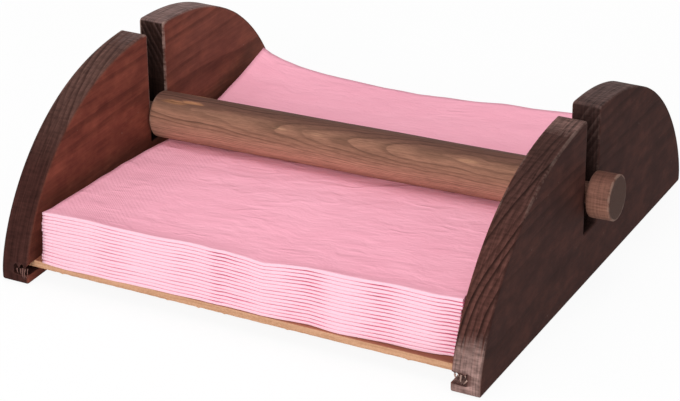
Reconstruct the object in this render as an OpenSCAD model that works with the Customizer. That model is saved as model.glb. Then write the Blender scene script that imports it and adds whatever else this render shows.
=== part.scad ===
/* [Napkins] */
// Side of a napkin, folded in four
napkin_size = 166; // [120:1:210]
// Number of napkins in the stack
napkin_count = 16; // [12:1:20]
// Height that one napkin takes up under the bar, which presses it flat
pressed_pitch = 1; // [0.9:0.05:1.2]
// Height that one napkin takes up at the front edge of the stack
front_pitch = 1.34; // [1.2:0.01:1.5]
// Height that one napkin takes up at the back edge of the stack
back_pitch = 1.2; // [1.2:0.01:1.5]
// Turn of the stack on the panel, in degrees, right end back
napkin_turn = 0.9; // [0:0.1:1]
// Room between the stack and each side board
napkin_room = 3; // [2.5:0.1:8]
// Distance of the stack to the right of the middle
napkin_shift = 1; // [0:0.1:1]
// Distance of the stack's front edge behind the front edge of the panel
napkin_set_back = 2.2; // [1.5:0.1:6]

/* [Side boards] */
// Length by which a side board runs past each end of the base panel
board_overhang = 5.3; // [2:0.1:15]
// Height of a side board at the middle of its curved top
board_height = 67.4; // [56:0.2:90]
// Height of the short upright front and back ends of a side board
board_end_height = 3.2; // [2:0.2:8]
// Thickness of a side board
board_thickness = 11.2; // [9:0.2:18]
// Power of the curved top along its length: 2 is an ellipse, more is squarer
rim_length_power = 2.45; // [2:0.05:3]
// Power of the curved top along its height: 2 is an ellipse, less is more pointed
rim_height_power = 1.54; // [1.3:0.02:2.2]

/* [Base panel and its grooves] */
// Thickness of the base panel
panel_thickness = 2.8; // [2:0.1:4]
// Length of the base panel beyond that of a napkin
panel_spare = 14.4; // [8:0.2:30]
// Height of the panel's underside above the table
panel_underside = 5.1; // [4:0.1:7]
// Height left free under the panel in the grooves that hold its ends
groove_spare = 1.7; // [0.2:0.1:2.5]
// Depth of a groove into the board's inner face
groove_depth = 6; // [3:0.2:8]

/* [Press bar] */
// Diameter of the dowel that the bar is cut from
bar_diameter = 18.5; // [15:0.5:24]
// Gap between each end of the bar and the side board
bar_end_gap = 0.5; // [0.4:0.1:1.5]
// Small bevel round the ends of the bar and the knobs
dowel_bevel = 0.9; // [0.4:0.1:2]
// Slope of the bar as it lies on the uneven napkins, in degrees, right end up
bar_slope = 1.4; // [0:0.1:1.6]

/* [Pins, slots and knobs] */
// Diameter of the pins that join the bar to its knobs
pin_diameter = 8; // [6:0.5:11]
// Depth of a pin's hole in the end of the bar
bar_hole_depth = 18; // [10:1:30]
// Play of a pin between the front and back walls of its slot, on each side
slot_clearance = 2; // [0.5:0.1:3]
// Height of a slot's flat bottom above the table
slot_bottom_height = 21.5; // [16:0.5:28]
// Radius that eases the two corners of a slot's mouth
slot_mouth_radius = 1.6; // [0.6:0.1:3]
// Diameter of the thinner dowel that both knobs are cut from
knob_diameter = 17.2; // [15:0.2:22]
// Length of a knob
knob_length = 9.2; // [7:0.2:20]
// Wood left between a knob's outer face and the end of its hole
knob_face_thickness = 3; // [2:0.1:4]
// Gap between a knob and the outer face of its side board
knob_gap = 1; // [0.6:0.1:2]

/* [Hidden] */
// Running clearance of a pin in its holes, on the radius
pin_fit = 0.06;
// Free length left at the bottom of a pin's hole
pin_end_room = 0.3;
// Small bevel round the ends of a pin
pin_bevel = 0.4;
// Gap between the bar and the top napkin
bar_rest_gap = 0.3;
// Air between one napkin and the next
napkin_gap = 0.2;
// Least gap between the turned stack and a side board
napkin_side_gap = 0.3;
// Gap between the panel's ends and the bottoms of the grooves
panel_end_gap = 0.3;
// Gap under a pin that has come down onto the bottom of its slot
slot_rest_gap = 0.3;
// Length by which every cut runs past the face that it opens
overrun = 1;
// Power of the stack's sag towards the bar
sag_power = 1.6;

// Facets of the turned pieces and the number of steps along each curve
$fn = 64;
rim_steps = 56;
sag_steps = 16;
fold_step = 45;

bar_radius = bar_diameter / 2;
knob_radius = knob_diameter / 2;
pin_radius = pin_diameter / 2;
slot_width = pin_diameter + 2 * slot_clearance;

inside_width = napkin_size + 2 * napkin_room;
half_inside = inside_width / 2;
panel_length = napkin_size + panel_spare;
board_length = panel_length + 2 * board_overhang;
half_length = board_length / 2;

panel_top = panel_underside + panel_thickness;
groove_height = panel_thickness + groove_spare;
groove_floor = panel_underside - groove_spare;
panel_width = 2 * (half_inside + groove_depth - panel_end_gap);

bar_length = inside_width - 2 * bar_end_gap;
knob_hole_depth = knob_length - knob_face_thickness;
pin_in_bar = bar_hole_depth - pin_end_room;
pin_in_knob = knob_hole_depth - pin_end_room;
pin_length = pin_in_bar + bar_end_gap + board_thickness + knob_gap + pin_in_knob;
knob_start = half_inside + board_thickness + knob_gap;

// The bar lies on the napkins, or on the slots' bottoms when few napkins are left
height_on_napkins = panel_top + napkin_count * pressed_pitch + bar_rest_gap + bar_radius;
slot_reach = half_inside + board_thickness;
height_in_slots = slot_bottom_height + slot_rest_gap + pin_radius / cos(bar_slope)
    + slot_reach * tan(bar_slope);
bar_height = max(height_on_napkins, height_in_slots);

napkin_front = -panel_length / 2 + napkin_set_back;
napkin_middle = napkin_front + napkin_size / 2;
turn_reach = napkin_size / 2 * (cos(napkin_turn) + sin(napkin_turn) - 1);
stack_shift = min(napkin_shift, napkin_room - turn_reach - napkin_side_gap);

// Name of a napkin, counted from the bottom of the stack
function napkin_name(number) = str("napkin_", number < 10 ? "0" : "", number);

// Height of the curved top above the table at a distance from the middle
function rim_height(distance) =
    let (along_share = min(abs(distance) / half_length, 1))
    let (up_share = pow(1 - pow(along_share, rim_length_power), 1 / rim_height_power))
    board_end_height + (board_height - board_end_height) * up_share;

// Outline of a side board, seen from its side: flat foot, upright ends, curved top
function board_outline() = concat(
    [[half_length, 0], [-half_length, 0]],
    [
        for (step = [0:rim_steps])
        let (along = -half_length * cos(180 * step / rim_steps))
        [along, rim_height(along)]
    ]
);

// Height that one napkin takes up at a distance from the bar, front being negative
function napkin_pitch(distance) =
    let (edge_pitch = distance < 0 ? front_pitch : back_pitch)
    let (edge = distance < 0 ? napkin_front : napkin_front + napkin_size)
    pressed_pitch + (edge_pitch - pressed_pitch) * pow(distance / edge, sag_power);

// Height of a napkin's underside above the panel
function napkin_floor(number, distance) = (number - 1) * napkin_pitch(distance);

// Height of a napkin's upper side above the panel
function napkin_roof(number, distance) = number * napkin_pitch(distance) - napkin_gap;

// Section of a napkin from front to back: a round fold in front, cut edges behind
function napkin_outline(number) =
    let (radius = (front_pitch - napkin_gap) / 2)
    let (start = napkin_front + radius)
    let (run = napkin_size - radius)
    let (fold_middle = napkin_floor(number, start) + radius)
    let (places = [for (step = [0:sag_steps]) start + run * step / sag_steps])
    concat(
        [for (place = places) [place, napkin_floor(number, place)]],
        [for (step = [0:sag_steps]) let (place = places[sag_steps - step])
            [place, napkin_roof(number, place)]],
        [for (angle = [90 + fold_step:fold_step:270 - fold_step])
            [start + radius * cos(angle), fold_middle + radius * sin(angle)]]
    );

// Extrudes a front-to-back section along the width, from a start to an end
module across(start, end) {
    translate([start, 0, 0])
        rotate([90, 0, 90])
            linear_extrude(end - start)
                children();
}

// Slot seen from the board's side, with its mouth eased
module slot_profile() {
    translate([-slot_width / 2, slot_bottom_height])
        square([slot_width, board_height]);
    for (side = [-1, 1])
        translate([side * slot_width / 2, board_height])
            difference() {
                square(2 * slot_mouth_radius, center = true);
                translate([side * slot_mouth_radius, -slot_mouth_radius])
                    circle(slot_mouth_radius);
            }
}

// Right side board, with its slot and the groove for the panel
module side_board() {
    difference() {
        across(half_inside, half_inside + board_thickness)
            difference() {
                polygon(board_outline());
                slot_profile();
            }
        translate([half_inside - overrun, -half_length - overrun, groove_floor])
            cube([groove_depth + overrun, board_length + 2 * overrun, groove_height]);
    }
}

// Turned rod along Z from zero, with both ends bevelled
module bevelled_rod(length, radius, bevel) {
    rotate_extrude()
        polygon([
            [0, 0],
            [radius - bevel, 0],
            [radius, bevel],
            [radius, length - bevel],
            [radius - bevel, length],
            [0, length]
        ]);
}

// Lays what is drawn along Z on the axis of the bar, at a distance from its middle
module on_bar(distance) {
    translate([0, 0, bar_height])
        rotate([0, 90 - bar_slope, 0])
            translate([0, 0, distance])
                children();
}

// Hole for a pin along Z from zero, open below
module pin_hole(depth) {
    translate([0, 0, -overrun])
        cylinder(h = depth + overrun, r = pin_radius + pin_fit);
}

module left_side() {
    color("#4b312a")
        mirror([1, 0, 0])
            side_board();
}

module right_side() {
    color("#4b312a")
        side_board();
}

module base_panel() {
    color("#a8664f")
        translate([-panel_width / 2, -panel_length / 2, panel_underside])
            cube([panel_width, panel_length, panel_thickness]);
}

module press_bar() {
    color("#8d6553")
        on_bar(0)
            difference() {
                translate([0, 0, -bar_length / 2])
                    bevelled_rod(bar_length, bar_radius, dowel_bevel);
                for (side = [0, 1])
                    mirror([0, 0, side])
                        translate([0, 0, bar_length / 2])
                            mirror([0, 0, 1])
                                pin_hole(bar_hole_depth);
            }
}

// Pin at the right end of the bar, through the slot and into the knob
module pin() {
    translate([0, 0, bar_length / 2 - pin_in_bar])
        bevelled_rod(pin_length, pin_radius, pin_bevel);
}

// Knob outside the right board, bored from its inner face
module knob() {
    translate([0, 0, knob_start])
        difference() {
            bevelled_rod(knob_length, knob_radius, dowel_bevel);
            pin_hole(knob_hole_depth);
        }
}

module left_pin() {
    color("#9b7460")
        on_bar(0)
            mirror([0, 0, 1])
                pin();
}

module right_pin() {
    color("#9b7460")
        on_bar(0)
            pin();
}

module left_knob() {
    color("#8d6553")
        on_bar(0)
            mirror([0, 0, 1])
                knob();
}

module right_knob() {
    color("#8d6553")
        on_bar(0)
            knob();
}

// Folded napkin; the slope of the bar is shared out over the stack
module napkin(number) {
    color("#f4b3c4")
        translate([0, 0, panel_top])
            rotate([0, -bar_slope * (number - 1) / napkin_count, 0])
                translate([stack_shift, napkin_middle, 0])
                    rotate([0, 0, napkin_turn])
                        translate([0, -napkin_middle, 0])
                            across(-napkin_size / 2, napkin_size / 2)
                                polygon(napkin_outline(number));
}

left_side();
right_side();
base_panel();
press_bar();
left_pin();
right_pin();
left_knob();
right_knob();
for (number = [1:napkin_count])
    napkin(number);
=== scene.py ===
"""Looks of a wooden napkin holder: two grooved side boards, a thin base panel, a press
bar whose pins run in open slots, and the stack of folded paper napkins that it holds.

Every length is in millimetres, and is turned into metres when a mesh is made. Only the
studio's places and sizes are in metres.
"""

import logging
import math
from dataclasses import dataclass
from enum import Enum
from typing import Any, NamedTuple, Sequence

import bmesh
import bpy
import numpy as np
from bpy.types import Material, Object
from mathutils import Matrix


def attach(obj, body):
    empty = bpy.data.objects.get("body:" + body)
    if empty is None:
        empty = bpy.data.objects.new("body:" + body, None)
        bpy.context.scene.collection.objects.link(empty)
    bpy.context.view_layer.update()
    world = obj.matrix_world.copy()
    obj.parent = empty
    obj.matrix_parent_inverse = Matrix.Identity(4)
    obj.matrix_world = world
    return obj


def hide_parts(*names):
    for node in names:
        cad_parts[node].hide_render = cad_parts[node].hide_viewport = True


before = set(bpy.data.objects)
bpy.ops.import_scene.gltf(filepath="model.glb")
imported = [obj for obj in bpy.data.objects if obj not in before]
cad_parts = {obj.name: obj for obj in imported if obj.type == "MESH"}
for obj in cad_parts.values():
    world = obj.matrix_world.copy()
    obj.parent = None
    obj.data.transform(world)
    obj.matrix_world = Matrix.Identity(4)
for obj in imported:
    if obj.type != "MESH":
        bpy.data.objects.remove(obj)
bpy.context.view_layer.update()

LOG = logging.getLogger("napkin_holder")
METRES = 0.001
TURN = 2 * math.pi
QUARTER = math.pi / 2
# An angle over this one gives a share that ends just under 1 after a quarter turn.
SOFT_QUARTER = 1.6

Array = np.ndarray
Colour = tuple[float, float, float]
Point = tuple[float, float, float]
Faces = list[tuple[int, ...]]
Table = tuple[tuple[float, float], ...]


class Signal:
    """A number that a node gives out, with Python's operators in place of Math nodes."""

    def __init__(self, recipe: "Recipe", socket: bpy.types.NodeSocket | None) -> None:
        """Keeps the node tree that is being written and an output socket in it."""
        self.recipe = recipe
        self.socket = socket

    def math(self, operation: str, *others: "Signal | float") -> "Signal":
        """Returns what one Math node makes of this signal and the values after it."""
        inputs = dict(enumerate((self, *others)))
        return self.recipe.node("ShaderNodeMath", inputs, operation=operation)

    def __add__(self, other: "Signal | float") -> "Signal":
        """Returns the sum."""
        return self.math("ADD", other)

    def __sub__(self, other: "Signal | float") -> "Signal":
        """Returns the difference."""
        return self.math("SUBTRACT", other)

    def __rsub__(self, other: float) -> "Signal":
        """Returns a number less this signal."""
        return self.math("MULTIPLY_ADD", -1.0, other)

    def __mul__(self, other: "Signal | float") -> "Signal":
        """Returns the product."""
        return self.math("MULTIPLY", other)

    def __pow__(self, other: float) -> "Signal":
        """Returns the power."""
        return self.math("POWER", other)

    def __abs__(self) -> "Signal":
        """Returns the distance from zero."""
        return self.math("ABSOLUTE")

    __radd__ = __add__
    __rmul__ = __mul__

    def smooth(self, low: float, high: float) -> "Signal":
        """Rises smoothly from 0 to 1 between two values of this signal.

        Args:
            low: Value at which the result is 0.
            high: Value at which the result is 1; it may be below low, for a fall.

        Returns:
            The smooth step.
        """
        start = float(high < low)
        inputs = {"Value": self, "From Min": min(low, high), "From Max": max(low, high)}
        inputs |= {"To Min": start, "To Max": 1.0 - start}
        return self.recipe.node("ShaderNodeMapRange", inputs, interpolation_type="SMOOTHSTEP")


class Recipe:
    """The node tree of one material, or of the world."""

    def __init__(self, name: str, owner: bpy.types.World | None = None) -> None:
        """Starts an empty material, or empties the world's tree.

        Args:
            name: The material's name.
            owner: The world, where the tree is the world's own.
        """
        self.material = owner or bpy.data.materials.new(name)
        self.material.use_nodes = True
        self.tree = self.material.node_tree
        self.tree.nodes.clear()

    def node(
        self,
        kind: str,
        inputs: dict[str | int, Any] | None = None,
        output: int | str = 0,
        **settings: Any,
    ) -> Signal:
        """Adds a node, sets it up and feeds its sockets.

        Args:
            kind: The node's type.
            inputs: Values or signals by the socket's name or number.
            output: The output that is handed back.
            settings: The node's properties, which are set first.

        Returns:
            That output as a signal.
        """
        made = self.tree.nodes.new(kind)
        for name, value in settings.items():
            setattr(made, name, value)
        for name, value in (inputs or {}).items():
            socket = made.inputs[name]
            if isinstance(value, Signal):
                self.tree.links.new(value.socket, socket)
            else:
                socket.default_value = (*value, 1.0) if socket.type == "RGBA" else value
        return Signal(self, made.outputs[output] if len(made.outputs) else None)

    def place(self) -> Signal:
        """Returns the point in the object's own coordinates, in millimetres."""
        return self.dim(self.node("ShaderNodeTexCoord", output="Object"), 1 / METRES)

    def attribute(self, name: str) -> Signal:
        """Returns a number that is stored on the mesh under that name."""
        return self.node("ShaderNodeAttribute", output="Fac", attribute_name=name)

    def parts(self, vector: Signal) -> tuple[Signal, ...]:
        """Returns the three numbers of a vector."""
        outputs = self.node("ShaderNodeSeparateXYZ", {0: vector}).socket.node.outputs
        return tuple(Signal(self, output) for output in outputs)

    def seen(self) -> Signal:
        """Tells the rays that show the backdrop from those that carry its light.

        Returns:
            1 for camera, glossy and transmission rays and 0 for all others.
        """
        paths = self.node("ShaderNodeLightPath").socket.node.outputs
        camera, glossy = Signal(self, paths["Is Camera Ray"]), Signal(self, paths["Is Glossy Ray"])
        through = Signal(self, paths["Is Transmission Ray"])
        return camera.math("MAXIMUM", glossy).math("MAXIMUM", through)

    def noise(
        self, x: Signal, y: Signal, z: Signal | float, detail: float = 2.0, roughness: float = 0.5
    ) -> Signal:
        """Adds a noise texture with one lump for each unit of its coordinates.

        Args:
            x: First coordinate at which the noise is read.
            y: Second coordinate.
            z: Third coordinate.
            detail: Number of finer layers.
            roughness: Strength of the finer layers.

        Returns:
            The noise, about 0.5 on average.
        """
        where = self.node("ShaderNodeCombineXYZ", {0: x, 1: y, 2: z})
        inputs = {"Vector": where, "Scale": 1.0, "Detail": detail, "Roughness": roughness}
        return self.node("ShaderNodeTexNoise", inputs, noise_dimensions="3D")

    def mix(self, share: Signal, first: Signal | Colour, second: Signal | Colour) -> Signal:
        """Returns the first colour with a share, from 0 to 1, of the second one in it."""
        inputs = {0: share, 6: first, 7: second}
        return self.node("ShaderNodeMix", inputs, 2, data_type="RGBA", clamp_factor=True)

    def dim(self, colour: Signal | Colour, amount: Signal | float) -> Signal:
        """Returns a colour or a vector times a number."""
        return self.node("ShaderNodeVectorMath", {0: colour, "Scale": amount}, operation="SCALE")

    def finish(
        self, colour: Signal, rough: Signal, height: Signal, depth: float, gloss: float
    ) -> Material:
        """Closes the tree with the surface shader.

        Args:
            colour: The base colour.
            rough: The roughness.
            height: The relief, from 0 to 1.
            depth: Depth that a relief of 1 stands for.
            gloss: The specular level.

        Returns:
            The material.
        """
        relief = self.node("ShaderNodeBump", {"Height": height, "Distance": depth * METRES})
        inputs = {"Base Color": colour, "Roughness": rough, "Normal": relief}
        shader = self.node("ShaderNodeBsdfPrincipled", inputs | {"Specular IOR Level": gloss})
        self.node("ShaderNodeOutputMaterial", {"Surface": shader})
        return self.material


@dataclass(frozen=True)
class HolderSizes:
    """Sizes that several sub-assemblies and finishes share.

    Heights are above the table, and half sizes are counted from the holder's middle.
    """

    half_inside: float = 86.0
    board_thickness: float = 11.2
    half_length: float = 95.5
    board_height: float = 67.4
    end_height: float = 3.2
    rim_length_power: float = 2.45
    rim_height_power: float = 1.54
    slot_half_width: float = 6.0
    slot_bottom: float = 21.5
    mouth_radius: float = 1.6
    groove_depth: float = 6.0
    groove_floor: float = 3.4
    groove_top: float = 7.9
    panel_bottom: float = 5.1
    panel_top: float = 7.9
    panel_half_length: float = 90.2
    panel_half_width: float = 91.7
    bar_height: float = 33.45
    bar_slope: float = math.radians(1.4)
    bar_radius: float = 9.25
    knob_radius: float = 8.6


class Grain(Enum):
    """The way that the fibres of a wooden piece run."""

    ALONG_BOARD = "front to back"
    ALONG_BAR = "side to side, with the bar"


class Spot(NamedTuple):
    """A wood's node tree and the point in it along the grain, across it and up."""

    recipe: Recipe
    along: Signal
    across: Signal
    up: Signal


@dataclass(frozen=True)
class Patch:
    """A place, along the grain and up, where the stain is thin, weathered or lighter."""

    along: float
    up: float
    half_length: float
    half_height: float
    colour: Colour
    strength: float = 0.8


@dataclass(frozen=True, kw_only=True)
class Wood:
    """What the stained woods share: the way of the grain, growth rings and patches.

    The rings are ring apart round a far pith, given across the grain and up, from which
    the wood leans away along the grain; bow is how far slow noise bends them.
    """

    name: str
    grain: Grain
    pith: tuple[float, float]
    ring: float
    seed: float
    bow: float = 1.0
    lean: float = 0.0
    patches: tuple[Patch, ...] = ()

    def spot(self) -> Spot:
        """Starts the material and reads the point in it.

        Returns:
            The node tree and the three coordinates; a bar's follow its own sloping axis.
        """
        recipe = Recipe(self.name)
        place = recipe.place()
        if self.grain is Grain.ALONG_BOARD:
            x, y, z = recipe.parts(place)
            return Spot(recipe, y, x, z)
        shift, turn = (0.0, 0.0, -HolderSizes.bar_height), (0.0, HolderSizes.bar_slope, 0.0)
        inputs = {"Vector": place, "Location": shift, "Rotation": turn}
        place = recipe.node("ShaderNodeMapping", inputs, vector_type="POINT")
        return Spot(recipe, *recipe.parts(place))

    def rings(self, spot: Spot) -> tuple[Signal, Signal]:
        """Cuts the distance from a far pith into growth rings.

        The distance is bent by slow noise. Within a ring the wood darkens slowly and ends
        sharply, and every ring has a strength of its own.

        Args:
            spot: The node tree and the point.

        Returns:
            The share of dark late wood, and the ring's own strength from 0 to 1.
        """
        recipe, along, across, up = spot
        bend = recipe.noise(along * 0.010 + self.seed, across * 0.03, up * 0.03, 1.0)
        sway = recipe.noise(along * 0.04, across * 0.10 + self.seed, up * 0.10)
        side = across - self.pith[0] + along * self.lean
        rise = up - self.pith[1]
        radius = (side * side + rise * rise) ** 0.5
        radius = radius + (bend - 0.5) * (3 * self.bow) + (sway - 0.5) * self.bow
        turns = radius * (1 / self.ring)
        phase = turns.math("FRACT")
        late = phase.smooth(0.3, 0.85) * phase.smooth(1.0, 0.93)
        own = recipe.noise(turns.math("FLOOR") * 5.13 + self.seed, along * 0.006, 0.0, 1.0)
        return late, own.smooth(0.3, 0.65)

    def rub(self, spot: Spot, colour: Signal, ragged: Signal, level: Signal) -> Signal:
        """Lays the patches on a colour, with ragged edges.

        Args:
            spot: The node tree and the point.
            colour: The colour under the patches.
            ragged: Fibre noise that breaks up a patch's edge.
            level: Grey level that carries the fibres into the patch.

        Returns:
            The colour with the patches on it.
        """
        recipe = spot.recipe
        for patch in self.patches:
            a = (spot.along - patch.along) * (1 / patch.half_length)
            b = (spot.up - patch.up) * (1 / patch.half_height)
            share = (a * a + b * b + (ragged - 0.5) * 3.6).smooth(1.2, 0.2) * patch.strength
            colour = recipe.mix(share, colour, recipe.dim(patch.colour, level * level))
        return colour


@dataclass(frozen=True, kw_only=True)
class BoardFinish(Wood):
    """Dark stained softwood: browner outside, a striped and worn rim, and inside a redder,
    lighter colour that is painted pink bounce light from the napkins.

    The stripes come in between the two heights of striped. Hands have rubbed the stretch
    of rim whose middle and half length rubbed gives, and slot_rub is the wear by the slot.
    """

    grain: Grain = Grain.ALONG_BOARD
    # The inner colours, front and back, are the stain with painted pink bounce light from the
    # napkins.
    inner: Colour
    inner_back_bounce: Colour
    inner_light: Colour = (0.26, 0.082, 0.048)
    outer: Colour = (0.047, 0.0195, 0.0165)
    rim_low: Colour
    rim_top: Colour
    stripe: Colour
    slot: Colour
    slot_light: Colour
    worn: Colour
    torn: Colour
    striped: tuple[float, float]
    stripe_depth: float
    rubbed: tuple[float, float]
    slot_rub: float
    figure: float = 0.35

    def _face(self, spot: Spot, mottle: Signal, blot: Signal) -> Signal:
        """Colours the two wide faces, apart from their fibres.

        Args:
            spot: The node tree and the point.
            mottle: Slow cloudy noise.
            blot: Smaller cloudy noise.

        Returns:
            The redder, lighter inner face, whose colour is painted pink bounce light from the
            napkins, and the browner outer one, each with lighter blots.
        """
        recipe, wall = spot.recipe, HolderSizes.half_inside
        light = (blot * 0.6 + mottle * 0.5).smooth(0.45, 0.75)
        # Painted light: the inner face carries pink bounce light from the napkins, with another
        # colour on its back half.
        bounce_lit_inner = recipe.mix(spot.along.smooth(-10.0, 30.0), self.inner, self.inner_back_bounce)
        bounce_lit_inner = recipe.mix(light * 0.4, bounce_lit_inner, self.inner_light)
        brown = recipe.mix(light * 0.07, self.outer, self.inner_light)
        return recipe.mix(abs(spot.across).smooth(wall + 1.0, wall - 0.1), brown, bounce_lit_inner)

    def material(self) -> Material:
        """Writes the board's node tree.

        The stored sawn value parts the rim and slot, where the rings show as stripes and
        fibres follow the edge, from the wide faces with their clouds and faint figure.
        The stored wear value brings out light rubbed edges, and raw the torn groove.

        Returns:
            The material.
        """
        recipe, along, across, up = spot = self.spot()
        late, own = self.rings(spot)
        cut = recipe.attribute("sawn")
        mottle = recipe.noise(along * 0.05 + self.seed, across * 0.05, up * 0.10, 3.0, 0.55)
        blot = recipe.noise(along * 0.15, across * 0.1, up * 0.26 + self.seed, 3.0, 0.65)
        fibre = recipe.noise(along * 0.045 + self.seed, across * 0.4, up * 1.3, 3.0, 0.65)
        lines = recipe.noise(along * 0.03, across * 1.2 + self.seed, up * 0.03, 3.0, 0.7)
        saw = recipe.noise(along * 0.9, across * 0.2, up * 0.9, 2.0, 0.6)
        dust = recipe.noise(along * 0.6, across * 0.6, up * 0.6, 1.0)
        patchy = recipe.noise(along * 0.1, across * 0.1, up * 0.1, 3.0, 0.6)

        level = 1.0 + (mottle - 0.5) * 0.8 + (blot - 0.5) * 0.4 + (fibre - 0.5) * 0.7
        face = recipe.dim(self._face(spot, mottle, blot), level.math("MAXIMUM", 0.3))
        face = recipe.mix(late * own * self.figure, face, self.stripe)
        face = recipe.mix(dust.smooth(0.78, 0.84) * 0.4, face, self.worn)

        rim_level = 1.0 + (lines - 0.5) * 1.9 + (mottle - 0.5) * 0.6 + (saw - 0.5) * 1.1
        rim_level = rim_level.math("MAXIMUM", 0.3)
        rim = recipe.dim(recipe.mix(up.smooth(36.0, 68.0), self.rim_low, self.rim_top), rim_level)
        shown = up.smooth(*self.striped) * self.stripe_depth + 0.06
        rim = recipe.mix(late * (0.3 + own * 0.7) * shown, rim, self.stripe)
        rim = self.rub(spot, rim, lines, rim_level)

        half, aside = HolderSizes.slot_half_width, abs(along)
        in_slot = aside.smooth(half + 0.7, half + 0.2) * up.smooth(18.0, 22.0)
        pale = late * own * up.smooth(38.0, 62.0) * 0.7
        wall = recipe.dim(recipe.mix(pale, self.slot, self.slot_light), rim_level)
        colour = recipe.mix(cut, face, recipe.mix(in_slot, rim, wall))
        torn = recipe.dim(recipe.mix(saw.smooth(0.5, 0.75), self.torn, self.worn), 0.4 + fibre)
        colour = recipe.mix(recipe.attribute("raw"), colour, torn)

        by_slot = aside.smooth(half + 4.0, half + 2.0) * self.slot_rub * up.smooth(26.0, 32.0)
        middle, reach = self.rubbed
        by_hand = abs(along - middle).smooth(reach + 8.0, reach - 4.0)
        share = (by_slot.math("MAXIMUM", by_hand * 0.3) + 0.06).math("MINIMUM", 1.0)
        loose = by_slot * 0.18 + by_hand * 0.2
        wear = recipe.attribute("wear") * (patchy * 0.9 + saw * 0.4 + loose)
        colour = recipe.mix(wear.smooth(0.66, 0.95) * share * 0.8, colour, self.worn)
        height = (late + lines) * cut * 0.5 + fibre * 0.4 + blot * 0.3
        return recipe.finish(colour, 0.68 + (fibre - 0.5) * 0.2, height, 0.14, 0.03)


@dataclass(frozen=True, kw_only=True)
class DowelFinish(Wood):
    """Thinly stained turned wood: fine nested lines, end grain and rubbed rims, with
    painted bounce light on its lower side and painted shade on its top.
    """

    grain: Grain = Grain.ALONG_BAR
    # By height: the lower colour is painted bounce light from below, the middle one the side's
    # colour and the top one painted shade.
    lower: Colour
    early: Colour
    shaded_top: Colour
    end: Colour
    worn: Colour
    line_depth: float = 0.42
    turned: float = 0.0
    radius: float = HolderSizes.bar_radius

    def material(self) -> Material:
        """Writes the dowel's node tree.

        The rings lean against the axis, so they run out as nested arcs. The lower side, the
        side and the very top each have a colour: the lighter, redder lower side is painted
        bounce light from below, and the darker top is painted shade. The stored sawn value
        picks the end grain of a cut end.

        Returns:
            The material.
        """
        recipe, along, across, up = spot = self.spot()
        late, own = self.rings(spot)
        fibre = recipe.noise(along * 0.05 + self.seed, across * 1.4, up * 1.4, 3.0, 0.65)
        fine = recipe.noise(along * 0.24, across * 2.9, up * 2.9, 3.0, 0.7)
        broad = recipe.noise(along * 0.02, across * 0.12, up * 0.12 + self.seed, 3.0, 0.55)
        around = recipe.noise(along * 1.5, across * 0.1, up * 0.1, 2.0, 0.6)
        speck = recipe.noise(along * 0.5, across * 2.2, up * 2.2, 3.0, 0.65)
        patchy = recipe.noise(along * 0.3, across * 0.3, up * 0.3)

        height = up * (1 / self.radius)
        # Painted light and shade: lighter and redder below as if lit from beneath, darker on top as
        # if in shade.
        wood = recipe.mix(height.smooth(-0.45, 0.42), self.lower, self.early)
        wood = recipe.mix(height.smooth(0.7, 1.0), wood, self.shaded_top)
        level = 1.0 + (fibre - 0.5) * 0.9 + (fine - 0.5) * 1.1 + (broad - 0.5) * 0.5
        level = level * (1.0 - late * late * (0.25 + own * 0.75) * self.line_depth)
        level = (level + (around - 0.5) * self.turned).math("MAXIMUM", 0.3)
        colour = self.rub(spot, recipe.dim(wood, level), fine, level)
        end = recipe.dim(self.end, (0.4 + speck * 1.2) * (1.0 - late * 0.25))
        colour = recipe.mix(recipe.attribute("sawn"), colour, end)
        wear = recipe.attribute("wear") * (patchy * 1.3 + fine * 0.5 - 0.2)
        colour = recipe.mix(wear.smooth(0.55, 0.95) * 0.6, colour, self.worn)
        relief = late * 0.4 + fibre * 0.4 + fine * 0.3
        return recipe.finish(colour, 0.66 + (fibre - 0.5) * 0.2, relief, 0.1, 0.08)


@dataclass(frozen=True)
class TornFinish:
    """Pale torn fibres that stand out of the sawn groove."""

    name: str
    pale: Colour
    dark: Colour

    def material(self) -> Material:
        """Writes the fibres' node tree: fine streaks that run down each fibre.

        Returns:
            The material.
        """
        recipe = Recipe(self.name)
        x, y, z = recipe.parts(recipe.place())
        streak = recipe.noise(x * 5.0, y * 3.0, z * 0.8, 2.0, 0.6)
        colour = recipe.mix(streak.smooth(0.4, 0.7), self.pale, self.dark)
        return recipe.finish(colour, 0.8 + (streak - 0.5) * 0.2, streak, 0.08, 0.1)


@dataclass(frozen=True)
class Ply:
    """The thin base panel: a stained face over pale sawn edges."""

    name: str
    face: Colour
    face_dark: Colour
    edge: Colour
    edge_dark: Colour

    def material(self) -> Material:
        """Writes the panel's node tree.

        The stored sawn value picks the pale sawn wood; elsewhere the stain lies on long
        fibres that run from side to side.

        Returns:
            The material.
        """
        recipe = Recipe(self.name)
        x, y, z = recipe.parts(recipe.place())
        fibre = recipe.noise(x * 0.02, y * 0.9, z * 0.9, 3.0, 0.6)
        patch = recipe.noise(x * 0.04, y * 0.07, z * 0.07, 3.0)
        speck = recipe.noise(x * 1.5, y * 1.5, z * 1.5)
        layer = recipe.noise(x * 0.06, y * 0.06, z * 1.4)
        face = recipe.mix((fibre * 0.6 + patch * 0.6).smooth(0.35, 0.85), self.face, self.face_dark)
        pale = recipe.mix((layer * 0.6 + speck * 0.5).smooth(0.35, 0.8), self.edge, self.edge_dark)
        colour = recipe.mix(recipe.attribute("sawn"), face, pale)
        return recipe.finish(colour, 0.7 + (fibre - 0.5) * 0.2, fibre * 0.5 + speck * 0.4, 0.1, 0.3)


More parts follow.
